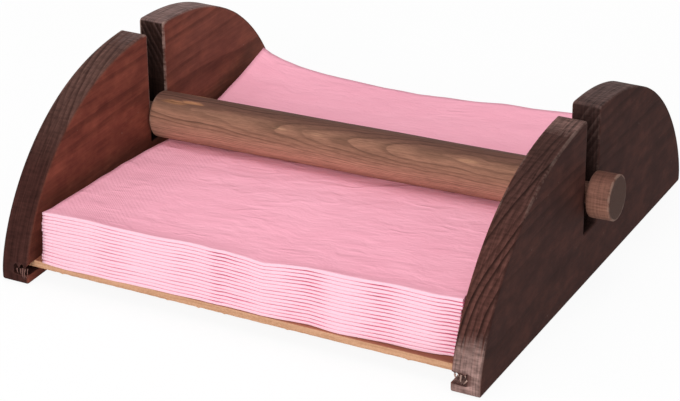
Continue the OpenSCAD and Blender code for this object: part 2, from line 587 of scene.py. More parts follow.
@dataclass(frozen=True)
class Tissue:
    """Soft dyed paper, with rows of small embossed dashes along its cut side edges."""

    name: str
    colour: Colour
    deep: Colour
    # The fold colour is painted pale light on the crests of the front folds.
    fold: Colour
    # The colour of the gaps is painted red shade in the narrow gaps between two napkins.
    gap_shade: Colour
    # The colour by the bar is painted light that lifts the bar's shadow on the paper.
    bar_fill_light: Colour
    bar_mm: float = 89.0
    border_mm: float = 33.0
    border_end_mm: float = 80.0
    turned_mm: tuple[float, float] = (10.0, 21.0)
    sheet_mm: float = 332.0

    @staticmethod
    def _dashes(short: Signal, long: Signal) -> Signal:
        """Returns rows of dashes: the product of waves along and across the rows."""
        rows = (short * 5.9).math("SINE").smooth(-0.3, 0.9)
        return rows * (long * 3.1).math("SINE").smooth(-0.7, 0.2)

    def material(self) -> Material:
        """Writes the paper's node tree.

        The sheet's own flat coordinates give the distance from the cut side edges.
        Inside the border, slanting rows of raised dashes turn the other way in the middle
        of the border; the dashes are painted lighter and the ground between them darker, a
        painted highlight and shade of their relief. Soft crepe ripples, creases and kinks
        run from side to side. The stored fold value pales the crests of the front folds
        with painted light, the value stored for the gaps paints a red shade into the narrow
        gaps between two napkins, and by the bar the paper is painted lighter and warmer
        against the bar's shadow.

        Returns:
            The material.
        """
        recipe = Recipe(self.name)
        u, v, _ = recipe.parts(recipe.node("ShaderNodeUVMap", uv_map="flat"))
        u, v = u * self.sheet_mm, v * self.sheet_mm
        half = self.sheet_mm / 2
        inside = half - abs(u - half)
        edge = inside + (recipe.noise(u * 0.02, v * 0.05, 0.0) - 0.5) * 14.0
        border = edge.smooth(self.border_mm, self.border_mm - 8) * inside.smooth(0.5, 1.5)
        border = border * (v - half).smooth(self.border_end_mm + 20, self.border_end_mm)
        near, far = self.turned_mm
        turned = edge.smooth(near - 1, near + 1) * edge.smooth(far + 1, far - 1)
        down, rise = self._dashes(v - u, u + v), self._dashes(v + u, u - v)
        raised = border * (down * (1.0 - turned) + rise * turned)

        warp = recipe.noise(u * 0.05, v * 0.06 + 3.0, 0.0)
        crepe = recipe.noise(u * 0.07, v * 0.30 + warp * 2.0, 0.0)
        crease = recipe.noise(u * 0.085 + warp * 1.5, v * 0.18 + warp, 0.0, 3.0, 0.55)
        bent = recipe.noise(u * 0.06 + 5.0, v * 0.12 + warp, 0.0, 1.0, 0.4)
        spot = recipe.noise(u * 0.05, v * 0.07 + 11.0, 0.0, 1.0)
        kink = abs(bent - 0.5).smooth(0.13, 0.0) * spot.smooth(0.45, 0.62)
        pulp = recipe.noise(u * 1.6, v * 1.6, 0.0, 2.0, 0.6)
        cloud = recipe.noise(u * 0.02, v * 0.035, 0.0)

        # Painted light and shade of the embossing: raised dashes lighter, the ground between them
        # darker.
        emboss_shading = (border * 0.10 - raised) * 0.95
        depth = (cloud - 0.5) * 0.7 + (crease - 0.5) * 0.5 + emboss_shading + (pulp - 0.5) * 0.25
        colour = recipe.mix(depth + 0.3, self.colour, self.deep)
        # Painted light: by the bar the paper is lighter and warmer, against the bar's shadow.
        fill_near_bar = abs(v - half - self.bar_mm).smooth(10.0, 2.0)
        colour = recipe.mix(fill_near_bar * 0.8, colour, self.bar_fill_light)
        # Painted light: the crests of the front folds are paler.
        colour = recipe.mix(recipe.attribute("fold"), colour, self.fold)
        # Painted shade: a red shade in the narrow gaps between two napkins.
        colour = recipe.mix(recipe.attribute("gap_shade"), colour, self.gap_shade)
        height = crepe * 0.5 + crease * 4.8 + kink * 1.3 + pulp * 0.12 + raised * 0.6
        return recipe.finish(colour, 0.9 + (pulp - 0.5) * 0.1, height, 0.16, 0.12)


@dataclass
class Shape:
    """Coordinates and faces of a piece under way, with numbers stored at its points."""

    points: Sequence[Array | float]
    faces: Faces
    values: dict[str, Array]
    flat: Sequence[Array] | None = None

    @staticmethod
    def rows(arrays: Sequence[Array | float]) -> Array:
        """Returns one row for each point from arrays that hold one coordinate each."""
        return np.stack(np.broadcast_arrays(*arrays), -1).reshape(-1, len(arrays))


def grid_faces(rows: int, columns: int, round_it: bool = False) -> Faces:
    """Joins the points of a grid into four-sided faces.

    Args:
        rows: Number of rows.
        columns: Number of points in a row.
        round_it: Whether the last column joins the first.

    Returns:
        The faces, each the four numbers of its points.
    """
    row, column = np.indices((rows - 1, columns if round_it else columns - 1))
    after = (column + 1) % columns
    low, high = row * columns, (row + 1) * columns
    corners = np.stack([low + column, low + after, high + after, high + column], -1)
    return [tuple(face) for face in corners.reshape(-1, 4).tolist()]


def tube_faces(rings: int, around: int, first: int = 0) -> Faces:
    """Joins rings of points into a tube that is closed by a face at each end.

    Args:
        rings: Number of rings.
        around: Number of points in a ring.
        first: Number of the tube's first point.

    Returns:
        The faces, the two ends last.
    """
    faces = grid_faces(rings, around, round_it=True)
    faces += [tuple(range(around)), tuple(range((rings - 1) * around, rings * around))]
    return [tuple(first + corner for corner in face) for face in faces]


def arc(y: float, z: float, radius: float, angle: Array | float) -> Array:
    """Returns the points at some angles of a circle round (y, z)."""
    return np.stack([y + radius * np.cos(angle), z + radius * np.sin(angle)], -1)


def turn_over(run: Array, count: int) -> tuple[Array, Array, Array]:
    """Goes along a run, over a half circle at its end and back.

    Args:
        run: Places along the run.
        count: Number of points on the half circle.

    Returns:
        The places, the side, which is the half circle's cosine between 1 on the way out
        and -1 on the way back, and the bulge, which is its sine.
    """
    angle = np.linspace(0.0, math.pi, count + 2)[1:-1]
    place = np.concatenate([run, np.full(count, run[-1]), run[::-1]])
    side = np.concatenate([np.ones(len(run)), np.cos(angle), -np.ones(len(run))])
    return place, side, np.concatenate([0 * run, np.sin(angle), 0 * run])


def read_off(table: Table, x: Array) -> Array:
    """Returns what a table of places and values gives at x, with straight lines between."""
    return np.interp(x, *np.transpose(table))


def ripple(place: Array, seed: int, count: int, shortest: float, longest: float) -> Array:
    """Adds up sine waves of seeded lengths and phases.

    Args:
        place: Where the waves are read.
        seed: Start of the random draws.
        count: Number of waves.
        shortest: Shortest wave.
        longest: Longest wave.

    Returns:
        A smooth wobble of about -1 to 1.
    """
    draw = np.random.default_rng(seed)
    lengths = draw.uniform(shortest, longest, count)
    phases = draw.uniform(0, TURN, count)
    waves = np.sin(place[..., None] * TURN / lengths + phases)
    return waves.sum(-1) / math.sqrt(count) * 0.8


def make_piece(name: str, shape: Shape, material: Material | None) -> Object:
    """Makes an object of a shape, in metres, with its values as attributes.

    Args:
        name: The object's name.
        shape: Coordinates, faces and stored values.
        material: The material of its only slot, or None for no slot.

    Returns:
        The new object, which sits at the origin.
    """
    mesh = bpy.data.meshes.new(name)
    mesh.from_pydata((shape.rows(shape.points) * METRES).tolist(), [], shape.faces)
    for key, numbers in shape.values.items():
        stored = mesh.attributes.new(key, "FLOAT", "POINT")
        stored.data.foreach_set("value", np.ascontiguousarray(numbers, np.float32).ravel())
    if shape.flat is not None:
        corners = np.empty(len(mesh.loops), np.int32)
        mesh.loops.foreach_get("vertex_index", corners)
        layer = mesh.uv_layers.new(name="flat")
        flat = shape.rows(shape.flat)[corners]
        layer.data.foreach_set("uv", flat.astype(np.float32).ravel())
    if material:
        mesh.materials.append(material)
    mesh.update()
    piece = bpy.data.objects.new(name, mesh)
    bpy.context.collection.objects.link(piece)
    return piece


def tidy_mesh(piece: Object, crease: float = 40.0) -> Object:
    """Closes seams and poles, turns the faces outwards and shades them.

    Args:
        piece: The object whose mesh is tidied.
        crease: Angle in degrees between faces from which an edge stays sharp.

    Returns:
        The same object.
    """
    work = bmesh.new()
    work.from_mesh(piece.data)
    bmesh.ops.remove_doubles(work, verts=work.verts, dist=1e-6)
    bmesh.ops.dissolve_degenerate(work, edges=work.edges, dist=1e-7)
    bmesh.ops.recalc_face_normals(work, faces=work.faces)
    work.to_mesh(piece.data)
    work.free()
    piece.data.shade_smooth()
    piece.data.set_sharp_from_angle(angle=math.radians(crease))
    return piece


def cut_away(piece: Object, cutter: Object) -> None:
    """Cuts one solid out of another for good.

    Args:
        piece: The object that is cut.
        cutter: The object that is taken away, and removed afterwards.
    """
    modifier = piece.modifiers.new("cut", "BOOLEAN")
    modifier.operation, modifier.solver, modifier.object = "DIFFERENCE", "EXACT", cutter
    bpy.context.view_layer.update()
    depsgraph = bpy.context.evaluated_depsgraph_get()
    mesh = bpy.data.meshes.new_from_object(piece.evaluated_get(depsgraph))
    piece.modifiers.clear()
    old, piece.data = piece.data, mesh
    mesh.name = piece.name
    bpy.data.meshes.remove(old)
    bpy.data.objects.remove(cutter)


@dataclass
class SideBoards:
    """The two side boards: eased outline, open slot and a through groove.

    A pair of face_wear is a distance in from the outline and the wear there, and one of
    rim_wear a distance across the rim from the eased edge and the wear there. Each row of
    fibres is x and z of the root, x and z of the tip, width and how far in front.
    """

    sizes: HolderSizes
    ease: float = 0.75
    foot_radius: float = 1.2
    slot_corner: float = 0.7
    least_radius: float = 0.1
    curve_points: int = 900
    rim_points: int = 90
    sole_points: int = 19
    wall_points: int = 14
    corner_points: int = 5
    face_wear: Table = ((5.0, 0.0), (2.4, 0.0), (1.1, 0.35))
    rim_wear: Table = ((0.5, 0.4), (1.4, 0.0))
    rim_wobble: float = 0.12
    wobble_centre: float = 30.0
    wobble_radius: float = 60.0
    wobble_span: float = 90.0
    overrun: float = 3.0
    groove_rows: int = 90
    groove_steps: int = 26
    saw_mark: float = 0.06
    depth_mark: float = 0.12
    mouth_length: float = 6.0
    mouth_rows: int = 40
    mouth_fade: float = 1.5
    mouth_drop: tuple[float, float] = (1.5, 0.9)
    mouth_rise: float = 0.35
    crease: float = 32.0
    fibre_rings: int = 9
    fibre_sides: int = 6
    fibre_bow: float = 0.12
    fibre_flatness: float = 0.45
    left_fibres: tuple[tuple[float, ...], ...] = (
        (-88.9, 6.2, -88.6, 3.4, 0.5, 95.3),
        (-87.7, 6.6, -87.6, 2.3, 0.8, 95.5),
        (-86.6, 6.6, -87.0, 2.0, 0.55, 95.5),
        (-85.6, 6.8, -85.4, 2.9, 0.45, 95.4),
        (-90.6, 5.9, -90.1, 3.6, 0.6, 95.0),
        (-86.2, 2.9, -87.3, 5.4, 0.5, 95.5),
    )
    right_fibres: tuple[tuple[float, ...], ...] = (
        (87.6, 7.3, 87.9, 5.6, 0.9, 95.0),
        (90.0, 7.5, 90.0, 4.7, 0.75, 95.3),
        (92.3, 5.9, 90.9, 4.1, 0.6, 95.2),
        (88.9, 7.4, 88.7, 6.3, 0.5, 95.0),
        (91.4, 7.4, 91.7, 6.6, 0.5, 95.0),
    )

    def _rim(self, inset: float, start: float) -> Array:
        """Walks the curved top of one half at a depth under its surface.

        The height is the end's height plus the rest times
        (1 - |y / half length| ^ p) ^ (1 / q); each point moves in along the normal.

        Args:
            inset: Depth under the surface.
            start: Distance from the middle at which the curve ends, by the slot.

        Returns:
            Points (y, z) from the board's end to the slot.
        """
        s = self.sizes
        y = s.half_length * np.cos(np.linspace(0.0, QUARTER, self.curve_points))
        share = np.clip(1 - (y / s.half_length) ** s.rim_length_power, 0, 1)
        z = s.end_height + (s.board_height - s.end_height) * share ** (1 / s.rim_height_power)
        slope_y, slope_z = np.gradient(y), np.gradient(z)
        size = np.hypot(slope_y, slope_z)
        y, z = y - inset * slope_z / size, z + inset * slope_y / size
        keep = (y > start) & (z > max(s.end_height, inset + self.foot_radius))
        y, z = y[keep], z[keep]
        length = np.concatenate([[0.0], np.cumsum(np.hypot(np.diff(y), np.diff(z)))])
        steps = np.linspace(0.0, length[-1], self.rim_points)
        return np.stack([np.interp(steps, length, y), np.interp(steps, length, z)], -1)

    def _outline(self, inset: float) -> Array:
        """Walks once round the board, its front half as the mirror of its back half.

        The back half runs over foot, foot's corner, rim, slot's mouth, wall and bottom.

        Args:
            inset: Depth under the surface.

        Returns:
            Points (y, z).
        """
        s = self.sizes
        quarter = np.linspace(0.0, QUARTER, self.corner_points)
        foot = max(self.foot_radius - inset, self.least_radius)
        toe = s.half_length - inset - foot
        sole_y = np.linspace(0.0, toe, self.sole_points, endpoint=False)
        sole = np.stack([sole_y, np.full(self.sole_points, inset)], -1)
        heel = arc(toe, inset + foot, foot, quarter - QUARTER)
        mouth = max(s.mouth_radius - inset, self.least_radius)
        mouth_y = s.slot_half_width + inset + mouth
        rim = self._rim(inset, mouth_y)
        lip = arc(mouth_y, rim[-1, 1] - mouth, mouth, quarter + QUARTER)
        wall_y, corner = s.slot_half_width + inset, self.slot_corner + inset
        low = s.slot_bottom - inset
        heights = np.linspace(lip[-1, 1], low + corner, self.wall_points)[1:-1]
        wall = np.stack([np.full(len(heights), wall_y), heights], -1)
        bottom = arc(wall_y - corner, low + corner, corner, -quarter)
        half = np.concatenate([sole, heel, rim, lip[1:], wall, bottom, [[0.0, low]]])
        return np.concatenate([half, half[-2:0:-1] * (-1.0, 1.0)])

    def _sections(self) -> list[tuple[float, float, float, float]]:
        """Lists the rings from the inner face to the outer one.

        Returns:
            For each ring its place across the board, inset, wear and sawn value.
        """
        e, t = self.ease, self.sizes.board_thickness
        rings = [(0.0, inset, wear, 0.0) for inset, wear in self.face_wear]
        for angle in np.linspace(0.0, QUARTER, self.corner_points):
            sawn = angle / SOFT_QUARTER
            rings.append((e - e * math.cos(angle), e - e * math.sin(angle), 1.0, sawn))
        rings += [(e + place, 0.0, wear, 1.0) for place, wear in self.rim_wear]
        rings.append((t / 2, 0.0, 0.0, 1.0))
        return rings + [(t - place, *rest) for place, *rest in rings[-2::-1]]

    def build(self, name: str, side: int, material: Material) -> Object:
        """Builds one board of its rings, with its groove cut in.

        Away from the wide faces the outline swells and shrinks by ripples that follow the
        angle round a point above the foot.

        Args:
            name: The object's name.
            side: -1 for the left board and 1 for the right one.
            material: The board's finish.

        Returns:
            The finished board.
        """
        layers, sections = [], self._sections()
        for place, inset, _, rough in sections:
            outline = self._outline(inset)
            angle = np.arctan2(outline[:, 1] - self.wobble_centre, outline[:, 0])
            wobble = ripple(angle * self.wobble_radius, 5 + side, 6, 9.0, 40.0) * (rough > 0.9)
            swell = 1 + self.rim_wobble * wobble[:, None] / self.wobble_span
            x = np.full(len(outline), side * (self.sizes.half_inside + place))
            layers.append(np.column_stack([x, outline * swell]))
        x, y, z = np.concatenate(layers).T
        _, _, wear, sawn = np.repeat(sections, len(layers[0]), axis=0).T
        values = {"wear": wear, "sawn": sawn, "raw": 0 * x}
        faces = tube_faces(len(layers), len(layers[0]))
        shape = Shape((x, y, np.maximum(z, 0.0)), faces, values)
        board = tidy_mesh(make_piece(name, shape, material))
        cut_away(board, self._groove(side))
        return tidy_mesh(board, self.crease)

    def _groove(self, side: int) -> Object:
        """Makes the solid that is cut out for the panel.

        The section is a slot whose floor and roof waver along the board as a saw leaves
        them. Close to the board's ends the roof hangs down and the floor comes up by a
        drop and by ragged waves across the mouth, where the wood tore.

        Args:
            side: -1 for the left board and 1 for the right one.

        Returns:
            The cutter.
        """
        s = self.sizes
        span = s.half_length + self.overrun
        end = np.linspace(span - self.mouth_length, span, self.mouth_rows)
        inner = end[0] - 1.0
        y = np.concatenate([-end[::-1], np.linspace(-inner, inner, self.groove_rows), end])[:, None]
        deep = np.linspace(-1.0, s.groove_depth, self.groove_steps)
        over = np.clip(0.6 + 0.5 * ripple(deep, 25 + side, 5, 1.1, 4.5), 0.1, 1.5)
        under = np.clip(0.5 + 0.5 * ripple(deep, 35 + side, 5, 1.1, 4.5), 0.0, 1.5)
        drop = self.mouth_drop[0 if side < 0 else 1]
        drop = drop * np.exp(-(((np.abs(y) - s.half_length) / self.mouth_fade) ** 2))
        roof = s.groove_top + self.saw_mark * ripple(y, 31 + side, 5, 3.0, 14.0) - drop * over
        floor = s.groove_floor + self.saw_mark * ripple(y, 21 + side, 5, 3.0, 14.0)
        floor = floor + self.mouth_rise * drop * under
        reach = deep + self.depth_mark * ripple(y, 41 + side, 5, 4.0, 18.0)
        x = side * (s.half_inside + np.hstack([reach, reach[:, ::-1]]))
        z = np.hstack([floor, roof[:, ::-1]])
        values = {"wear": 0 * x, "sawn": 0 * x, "raw": 0 * x + 1}
        shape = Shape((x, y, z), tube_faces(*x.shape), values)
        return tidy_mesh(make_piece("cutter", shape, None))

    def build_fibres(self, name: str, side: int, material: Material) -> Object:
        """Builds the torn fibres in the front mouth of a groove.

        A fibre is a thin blade along a straight line from its root to its tip. Its
        section is a flat lozenge whose width falls with the square root of what is left
        of its length, and it bows forward by a share of the length.

        Args:
            name: The object's name.
            side: -1 for the left board and 1 for the right one.
            material: The fibres' finish.

        Returns:
            The fibres of one mouth as one piece.
        """
        fibres = np.array(self.left_fibres if side < 0 else self.right_fibres)
        x0, z0, x1, z1, width, front = fibres.T[..., None, None]
        share = np.linspace(0.0, 1.0, self.fibre_rings)[:, None]
        turn = np.linspace(0, TURN, self.fibre_sides, endpoint=False)
        length = np.hypot(x1 - x0, z1 - z0)
        half = 0.5 * width * np.sqrt(1.02 - share)
        wide = half * np.cos(turn) / length
        x = x0 + (x1 - x0) * share + wide * (z1 - z0)
        z = z0 + (z1 - z0) * share - wide * (x1 - x0)
        bow = self.fibre_bow * length * np.sin(math.pi * share)
        y = -front - bow + self.fibre_flatness * half * np.sin(turn)
        count, rings, around = x.shape
        faces: Faces = []
        for number in range(count):
            faces += tube_faces(rings, around, number * rings * around)
        return tidy_mesh(make_piece(name, Shape((x, y, z), faces, {}), material))


@dataclass
class BasePanel:
    """The thin panel whose ends lie in the boards' grooves."""

    sizes: HolderSizes
    ease: float = 0.25
    steps: int = 520
    nibs: tuple[float, ...] = (-74.0, -28.9, -16.0, -5.3, 20.2, 67.6)
    nib_length: float = 0.32
    nib_width: float = 0.6
    rag: float = 0.05
    rag_height: float = 1.2
    wave: float = 0.06
    wave_depth: float = 1.6
    crease: float = 50.0

    def build(self, material: Material) -> Object:
        """Carries the panel's rounded section from its left end to its right one.

        A point of the section is given by how far back it lies from the panel's front or
        back end, and how far down from its face. The lower edges waver by small waves, and
        small torn bits hang from them.

        Args:
            material: The panel's finish.

        Returns:
            The panel, with a slightly ragged lower edge in front and behind.
        """
        s, e = self.sizes, self.ease
        x = np.linspace(-s.panel_half_width, s.panel_half_width, self.steps)[:, None]
        y1, z0, z1 = s.panel_half_length, s.panel_bottom, s.panel_top
        back = np.array([12.0, 1.5, e, 0.3 * e, 0.0, 0.0])
        down = np.array([0.0, 0.0, 0.0, 0.3 * e, e, 1.0])
        y = y1 - np.concatenate([back, back[::-1]])
        z = np.concatenate([z1 - down, z0 + down[::-1]])
        y, z = np.concatenate([y, -y[::-1]]), np.concatenate([z, z[::-1]])
        edge = np.array([0, 0, 0.1, 0.7, 1, 1, 1, 1, 1, 0.6, 0.1, 0.0])
        lower = np.clip((z0 + self.rag_height - z) / self.rag_height, 0, 1)
        outer = np.clip((np.abs(y) - (y1 - self.wave_depth)) / self.wave_depth, 0, 1)
        bits = np.exp(-(((x - self.nibs) / self.nib_width) ** 2)).sum(-1, keepdims=True)
        rag = self.rag * ripple(x, 51, 7, 1.5, 12.0) - self.nib_length * bits
        wave = self.wave * ripple(x, 52, 5, 8.0, 60.0)
        values = {"sawn": np.tile(np.concatenate([edge, edge[::-1]]), len(x))}
        grid = (x, y * (1 + outer * wave / y1), z + rag * lower * outer)
        shape = Shape(grid, tube_faces(len(x), len(z)), values)
        return tidy_mesh(make_piece("base_board", shape, material), self.crease)


@dataclass
class PressBar:
    """The dowel that lies on the napkins, and the two knobs outside the boards.

    A pair of a wear table is a distance from the corner that the rounding of the rim
    takes off, and the wear there.
    """

    sizes: HolderSizes
    bar_half_length: float = 85.5
    bar_ease: float = 1.3
    bar_end_wear: Table = ((2.6, 0.1), (1.5, 0.4))
    bar_side_wear: Table = ((2.2, 0.3), (4.0, 0.0))
    bar_plain_from: float = 6.0
    bar_rings: int = 120
    bar_hole_depth: float = 18.0
    hole_radius: float = 4.06
    knob_start: float = 98.2
    knob_length: float = 9.2
    knob_inner_ease: float = 0.7
    knob_outer_ease: float = 0.5
    knob_inner_wear: Table = ((1.5, 0.3),)
    knob_side_wear: Table = ((7.4, 0.1), (1.6, 0.1))
    knob_end_wear: Table = ((1.1, 0.5), (2.2, 0.0))
    knob_hole_depth: float = 6.2
    unevenness: float = 0.05
    rim_wear: float = 0.8
    outer_rim_wear: float = 1.2
    inner_rim_sawn: float = 0.3
    inner_rim_points: int = 5
    rim_points: int = 6
    around: int = 112
    crease: float = 50.0

    def _turned(
        self, name: str, profile: Sequence[tuple[float, ...]], seed: int, material: Material
    ) -> Object:
        """Turns a profile round the bar's sloping axis.

        A point lies at its place along the axis plus its radius times the cosine and sine
        of the angle; the radius swells and shrinks slightly round it and along it.

        Args:
            name: The object's name.
            profile: For each point its place along the axis, radius, wear and sawn value.
            seed: Start of the random draws of the unevenness.
            material: The piece's finish.

        Returns:
            The turned piece.
        """
        s = self.sizes
        along, radius, wear, sawn = np.array(profile).T[..., None]
        angle = np.linspace(0, TURN, self.around, endpoint=False)
        uneven = ripple(along, seed, 5, 18.0, 90.0) + np.cos(2 * angle + 0.7)
        r = radius + self.unevenness * uneven * (radius > self.hole_radius + 0.5)
        height = r * np.cos(angle)
        cos, sin = math.cos(s.bar_slope), math.sin(s.bar_slope)
        x, z = along * cos - height * sin, s.bar_height + along * sin + height * cos
        values = {"wear": wear + 0 * x, "sawn": sawn + 0 * x}
        faces = grid_faces(*x.shape, round_it=True)
        shape = Shape((x, r * np.sin(angle), z), faces, values)
        return tidy_mesh(make_piece(name, shape, material), self.crease)

    def build_bar(self, material: Material) -> Object:
        """Turns the bar, bored at both ends, with rounded rims.

        Args:
            material: The dowel's finish.

        Returns:
            The bar.
        """
        half, radius, hole = self.bar_half_length, self.sizes.bar_radius, self.hole_radius
        deep, ease = half - self.bar_hole_depth, self.bar_ease
        end = [(deep, 0.0, 0.0, 1.0), (deep, hole, 0.0, 1.0), (half, hole, 0.0, 1.0)]
        end += [(half, radius - inset, wear, 1.0) for inset, wear in self.bar_end_wear]
        for turn in np.linspace(0, QUARTER, self.rim_points):
            sawn = 1.0 - turn / SOFT_QUARTER
            end.append((*arc(half - ease, radius - ease, ease, turn), self.rim_wear, sawn))
        end += [(half - inset, radius, wear, 0.0) for inset, wear in self.bar_side_wear]
        plain = half - self.bar_plain_from
        places = np.linspace(plain, -plain, self.bar_rings)
        body = [(place, radius, 0.0, 0.0) for place in places]
        far = [(-place, *rest) for place, *rest in end[::-1]]
        return self._turned("press_dowel", [*end, *body, *far], 61, material)

    def build_knob(self, name: str, side: int, material: Material) -> Object:
        """Turns one knob, bored from its inner face.

        Args:
            name: The object's name.
            side: -1 for the left knob and 1 for the right one.
            material: The dowel's finish.

        Returns:
            The knob.
        """
        start, radius, hole = self.knob_start, self.sizes.knob_radius, self.hole_radius
        end, deep = start + self.knob_length, start + self.knob_hole_depth
        inner, outer = self.knob_inner_ease, self.knob_outer_ease
        profile = [(deep, 0.0, 0.0, 1.0), (deep, hole, 0.0, 1.0), (start, hole, 0.0, 1.0)]
        profile += [(start, radius - inset, wear, 1.0) for inset, wear in self.knob_inner_wear]
        worn = (self.rim_wear, self.inner_rim_sawn)
        for turn in np.linspace(math.pi, QUARTER, self.inner_rim_points):
            profile.append((*arc(start + inner, radius - inner, inner, turn), *worn))
        profile += [(end - inset, radius, wear, 0.0) for inset, wear in self.knob_side_wear]
        for turn in np.linspace(QUARTER, 0, self.rim_points):
            worn = (self.outer_rim_wear, 1.0 - turn / SOFT_QUARTER)
            profile.append((*arc(end - outer, radius - outer, outer, turn), *worn))
        profile += [(end, radius - inset, wear, 1.0) for inset, wear in self.knob_end_wear]
        profile += [(end, 0.45 * radius, 0.0, 1.0), (end, 0.0, 0.0, 1.0)]
        turned = [(side * place, *rest) for place, *rest in profile]
        return self._turned(name, turned, 64 + side, material)

    def dress_pin(self, name: str, material: Material) -> Object:
        """Gives a pin its finish; it keeps its own mesh from the frame.

        Args:
            name: The pin's node in the frame.
            material: The pin's finish.

        Returns:
            The pin.
        """
        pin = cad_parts[name]
        pin.data.materials.clear()
        pin.data.materials.append(material)
        return pin


@dataclass
class NapkinStack:
    """Sixteen paper napkins, each a square sheet folded in four.

    A table gives a value at places to the right of the middle: the heights of the top's
    front edge and back edge, the power with which the last share of its rise to the front
    grows, the distance of the lowest front fold behind the bar, and how far the napkins
    gape at the front, from 0, shut, to 1, open.
    """

    sizes: HolderSizes
    count: int = 16
    side: float = 166.0
    shift_low: float = 0.9
    shift_high: float = 2.5
    paper: float = 0.17
    clearance: float = 0.03
    press_gap: float = 0.35
    front_reach: float = 89.5
    back_reach: float = 78.0
    side_room: float = 0.4
    back_room: float = 0.8
    squareness: float = 0.6
    uneven: float = 1.1
    pairing: float = 0.12
    splay: float = 0.8
    wander: float = 0.10
    gape_depth: float = 14.0
    gape_share: float = 0.24
    top_slope: float = 0.0313
    top_middle: float = -89.3
    top_flutes: float = 0.85
    top_back: float = 0.3
    columns: int = 84
    loop_points: int = 5
    bend_points: int = 13
    front_edge: Table = (
        (-83, 28.8), (-75, 29.6), (-60, 29.8), (-45, 29.5), (-35, 29.6), (-23, 30.0), (-11, 29.9),
        (-4.6, 30.3), (3.4, 29.9), (8.3, 29.2), (10.7, 29.0), (13, 29.3), (18, 30.1), (27, 31.0),
        (36, 31.3), (50, 31.6), (68, 31.8),
    )
    back_edge: Table = (
        (-83, 34.0), (-80, 32.8), (-77, 31.2), (-72, 29.6), (-63, 27.6), (-54, 26.4), (-46, 25.4),
        (-24, 24.4), (-2, 24.8), (19, 26.4), (35, 27.4), (51, 28.2), (66, 28.7), (84, 29.0),
    )
    late_power: Table = ((-82, 2.5), (-58, 9.0))
    fold_line: Table = (
        (-81, -90.8), (-77, -91.3), (-71, -91.7), (-61, -91.3), (-51, -91.2), (-46, -90.7),
        (-36, -90.4), (-26, -90.4), (-16, -89.9), (-8, -90.1), (-5, -89.7), (3, -89.8), (10, -90.0),
        (17, -89.6), (22, -89.0), (28, -88.5), (36, -89.3), (41, -89.5), (50, -88.7), (59, -87.9),
        (68, -87.7), (77, -87.2), (81, -86.3), (85, -86.0),
    )
    looseness: Table = (
        (-84, 0.9), (-80, 0.3), (-76, 0.15), (-61, 0.12), (-55, 0.36), (-50, 0.38), (-41, 0.08),
        (-31, 0.15), (-22, 0.36), (-12, 0.22), (-8.5, 0.85), (-5, 0.7), (1, 0.42), (8, 0.16),
        (17, 0.28), (22, 0.6), (28, 0.72), (33, 0.5), (36.5, 0.1), (42, 0.04), (47, 0.18),
        (51, 0.45), (55, 0.78), (59, 0.7), (63, 0.3), (68, 0.15), (73, 0.18), (77, 0.54), (81, 0.9),
        (85, 1.0),
    )

    def _surface(self, x: Array, y: Array) -> Array:
        """Gives the height of the top of the stack.

        Under the bar it is the bar's own slope. Towards the front edge it rises by a
        share that grows quickly, levels off, dips a little and swells at the fold;
        towards the back it rises with the square of the distance. Both edges have their
        own heights.

        Args:
            x: Distance to the right of the middle.
            y: Distance behind the bar.

        Returns:
            The height above the table.
        """
        s = self.sizes
        under = s.bar_height - s.bar_radius - self.press_gap + x * math.tan(s.bar_slope)
        front = read_off(self.front_edge, x) - under
        back = read_off(self.back_edge, x) - under
        near = np.clip(-y / self.front_reach, 0, 1.02)
        late = read_off(self.late_power, x)
        rise = 0.58 * (1 - np.exp(-((near / 0.29) ** 1.2))) + 0.42 * near**late
        behind = y - self._front(x, 1.0)
        lip = 0.1 * np.exp(-((behind / 1.8) ** 2)) - 0.2 * np.exp(-(((behind - 6.0) / 3.2) ** 2))
        far = np.clip(y / self.back_reach, 0, 1.02) ** 2
        wave = 0.16 * ripple(x + 0.35 * y, 71, 5, 18.0, 55.0)
        wave = wave + 0.14 * ripple(y * 0.9 - 0.2 * x, 72, 5, 12.0, 40.0)
        calm = 1 - np.exp(-((y / 16.0) ** 2))
        return under + np.where(y < 0, front * rise + lip, back * far) + calm * wave

    def _front(self, x: Array, share: float) -> Array:
        """Gives the line of the front folds seen from above, with its soft flutes.

        The top fold lies along a straight line, with a share of the lowest one's flutes.

        Args:
            x: Distance to the right of the middle.
            share: 0 at the bottom of the stack and 1 at its top.

        Returns:
            Distance of the fold behind the bar, which is negative in front.
        """
        bottom = read_off(self.fold_line, x)
        straight = self.top_slope * x + self.top_middle
        top = straight + self.top_flutes * (bottom - straight) + self.top_back
        return bottom + (top - bottom) * share

    def _sheet(self, number: int) -> Shape:
        """Folds one square sheet twice and lays it on the stack.

        Across, the sheet runs to the right, turns over a half circle and comes back; that
        pair then runs forward, turns over at the front and goes back above. The front
        fold's section is a half circle whose sine and cosine are raised to a power below
        1, which makes it squarer, the more so where the napkins lie tight. A layer lies
        half a pitch to one side or the other of the pair's middle. Every second napkin
        gapes a little more than the next one, and the front folds splay to the right
        towards the top. The cut edges at the back end unevenly, by a share of their depth
        to the power 8.

        Args:
            number: The napkin's place in the stack, from 1 at the bottom.

        Returns:
            The folded sheet as a single surface, with its flat coordinates.
        """
        draw = np.random.default_rng(100 + number)
        tall = (number - 0.5) / self.count
        shift_x = self.shift_low + (self.shift_high - self.shift_low) * tall
        shift_x, shift_y = shift_x + draw.uniform(-0.25, 0.2), draw.uniform(-0.12, 0.12)
        top = number == self.count
        short = 0.0 if top else draw.uniform(0.0, self.uneven)
        run = np.linspace(0.0, self.side - self.side_room, self.columns)
        across, layer, bulge = turn_over(run, self.loop_points)
        flat_u = self.side - np.where(bulge > 0, 0.0, layer * (self.side - across))

